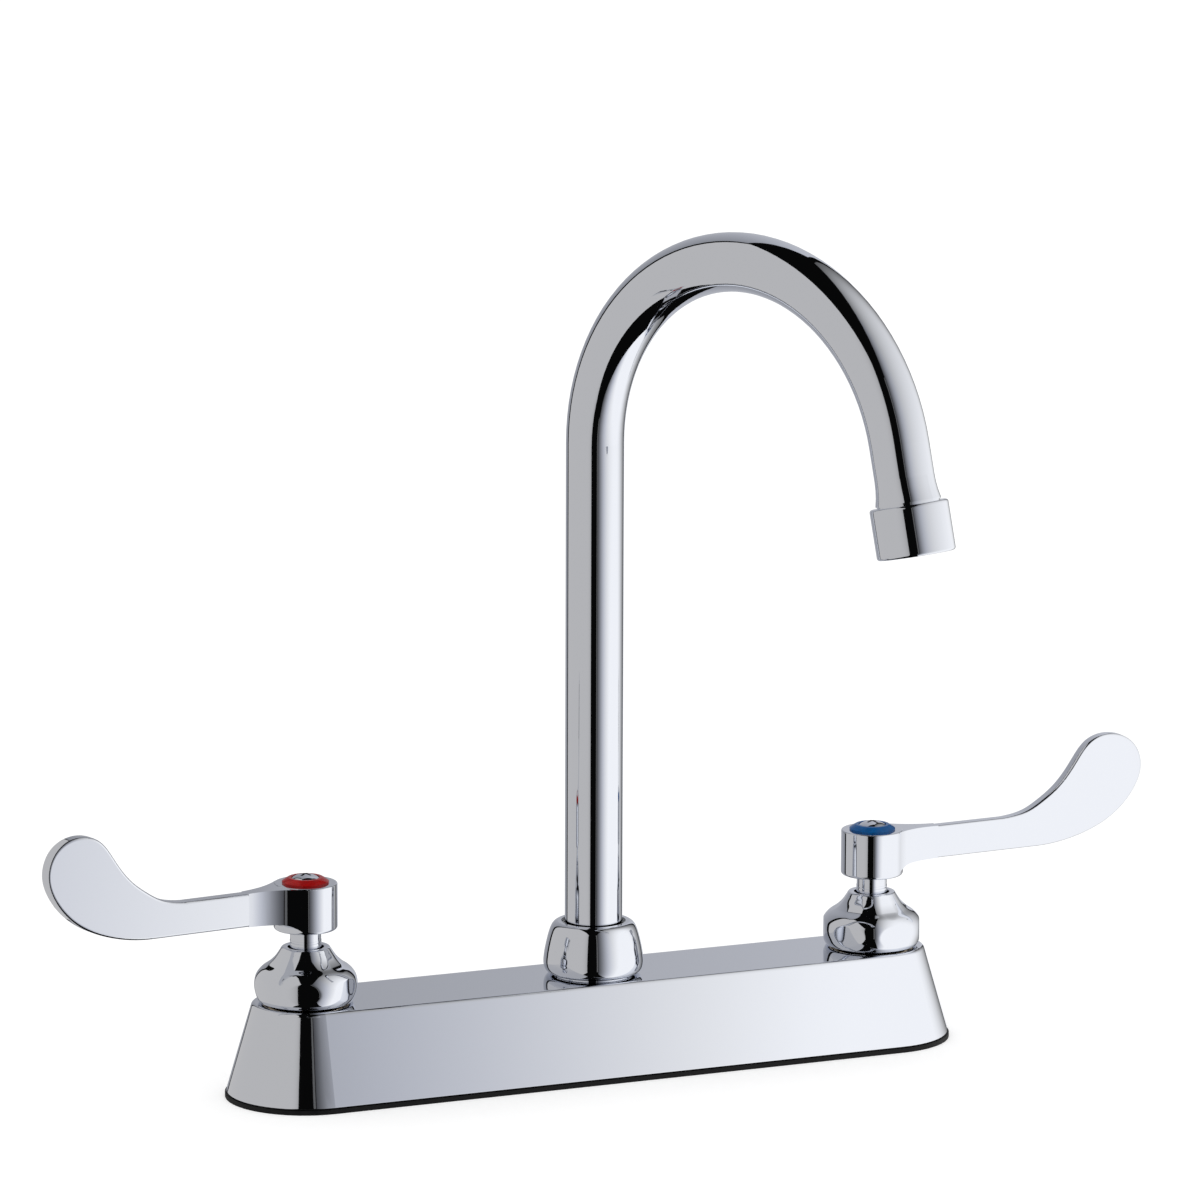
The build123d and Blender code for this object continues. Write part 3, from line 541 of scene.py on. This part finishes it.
def glowing_stage(thing, colours):
    """Stage piece that glows with a row of red, green and blue for each point, and that only
    mirrors see: it lights nothing, shades nothing and isn't pictured."""
    attribute = thing.data.attributes.new("glow", "FLOAT_COLOR", "POINT")
    attribute.data.foreach_set("color", np.insert(colours, 3, 1.0, axis=1).ravel())
    thing.visible_camera = False
    thing.visible_diffuse = False
    thing.visible_transmission = False
    thing.visible_shadow = False
    thing.data.materials.append(panel_glow)


def studio_point(side, toward):
    """Floor point from metres to the camera's right and metres toward the camera."""
    turn = math.radians(camera_azimuth)
    return np.array((
        side * math.cos(turn) + toward * math.sin(turn),
        side * math.sin(turn) - toward * math.cos(turn),
    ))


def studio_panel(name, ends, edges, glow):
    """Flat upright panel between two floor places, a grid of (along, up), whose glow is a
    function of the share along it, the metres toward the camera and the height."""
    along, up = np.meshgrid(np.linspace(0, 1, panel_columns), np.linspace(*edges, panel_rows))
    near, far = ends
    start, end = studio_point(*near), studio_point(*far)
    spread = start + (end - start) * along.reshape(-1, 1)
    points = np.column_stack((spread, up.ravel()))
    corner = np.arange(panel_rows - 1)[:, None] * panel_columns + np.arange(panel_columns - 1)
    corner = corner.ravel()
    above = corner + panel_columns
    faces = np.column_stack((corner, corner + 1, above + 1, above))
    panel = mesh_object(name, points.tolist(), faces.tolist())
    toward = near[1] + (far[1] - near[1]) * along.ravel()
    glowing_stage(panel, glow(along.ravel()[:, None], toward[:, None], up.ravel()[:, None]))


def lamp_glow(along, toward, up):
    """Brightness is the lamp's level over one plus a power of the distance from its centre, held
    under a ceiling, and falls off faster on the far side and more slowly upwards. The near end
    is a cooler white."""
    spread = np.where(toward > 0, lamp_spread_near, lamp_spread_far)
    reach = np.hypot(toward / spread, np.maximum(up - lamp_height, 0) / lamp_spread_up)
    level = np.minimum(lamp_level / (1 + reach**lamp_falloff), lamp_ceiling)
    return level * (1 + np.clip((toward - cool_start) / cool_length, 0, 1) * cool_tint)


def wall_glow(along, toward, up):
    """Even brightness that fades with the square of the distance past the fade's start."""
    fade = np.clip((toward - wall_fade_start) / wall_fade_length, 0, 1)
    return (wall_level - wall_fade_drop * fade**2) * warm_tint


def strip_glow(along, toward, up):
    """Even dim white."""
    return np.full_like(along, strip_level) * np.ones(3)


def back_glow(along, toward, up):
    """Cool white that brightens steadily along the panel."""
    return (back_level + back_rise * along) * (1 + cool_tint)


def make_room():
    """Nearly black box all round, which the mirrors show wherever no panel stands."""
    reach = (-room_reach, room_reach)
    corners = [(x, y, z) for x in reach for y in reach for z in reach]
    sides = [(0, 1, 3, 2), (4, 6, 7, 5), (0, 4, 5, 1), (2, 3, 7, 6), (0, 2, 6, 4), (1, 5, 7, 3)]
    glowing_stage(mesh_object("dark_room", corners, sides), np.full((8, 3), room_level))


def make_floor():
    """Pale floor, white to the camera where no shadow falls, left out of the mirror images."""
    corners = [(-1, -1, 0), (1, -1, 0), (1, 1, 0), (-1, 1, 0)]
    floor = mesh_object("floor", (np.array(corners) * floor_reach).tolist(), [(0, 1, 2, 3)])
    material, tree, surface = finish_material("pale_floor", (floor_tone,) * 3, not_metal)
    surface.inputs["Roughness"].default_value = 1.0
    surface.inputs["Specular IOR Level"].default_value = 0.0
    surface.inputs["Emission Color"].default_value = white
    path = new_node(tree, "ShaderNodeLightPath")
    lift = map_range(tree, path.outputs["Is Camera Ray"], 0.0, 1.0, 0.0, floor_lift)
    tree.links.new(lift, surface.inputs["Emission Strength"])
    floor.data.materials.append(material)
    floor.visible_glossy = False


def make_world():
    """White to the camera, and a soft light from all round. Mirrors see the room instead."""
    world = bpy.data.worlds.new("studio")
    bpy.context.scene.world = world
    world.use_nodes = True
    tree = world.node_tree
    background = tree.nodes["Background"]
    background.inputs["Color"].default_value = white
    path = new_node(tree, "ShaderNodeLightPath")
    level = map_range(tree, path.outputs["Is Camera Ray"], 0.0, 1.0, world_light, world_seen)
    tree.links.new(level, background.inputs["Strength"])


studio_panel("left_panel", left_panel_ends, left_panel_edges, wall_glow)
studio_panel("right_panel", right_panel_ends, right_panel_edges, lamp_glow)
studio_panel("side_strip", strip_ends, strip_edges, strip_glow)
studio_panel("back_panel", back_panel_ends, back_panel_edges, back_glow)
make_room()
make_floor()
make_world()

bpy.context.scene.view_settings.view_transform = "Standard"
